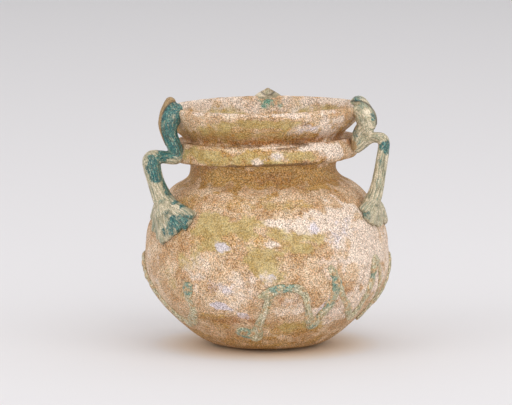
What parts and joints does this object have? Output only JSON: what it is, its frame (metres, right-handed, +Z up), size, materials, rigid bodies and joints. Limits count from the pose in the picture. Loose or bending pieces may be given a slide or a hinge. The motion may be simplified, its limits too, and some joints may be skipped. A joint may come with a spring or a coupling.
{
  "type": "glass jar",
  "caption": "Small wide-mouthed jar of blown glass with a rounded body, a collar under a flaring rim, trailed rod handles from shoulder to rim and a zigzag thread round the lower half.",
  "frame": {"origin": "on the jar's axis, in the plane that its foot ring stands on", "axes": "+Z up along the jar's axis, -Y the side that the picture shows, +X to that view's right"},
  "size_m": [0.0974, 0.0997, 0.0985],
  "materials": {
    "weathered_glass": "opaque tan weathering crust with iridescent patches",
    "blue_green_glass": "weathered, streaked along the rod",
    "trail_glass": "weathered, pale edges"
  },
  "bodies": {
    "root": {"jar_body": "weathered_glass", "handle_left": "blue_green_glass", "handle_right": "blue_green_glass", "handle_back": "blue_green_glass", "zigzag_trail": "trail_glass"}
  },
  "joints": []
}
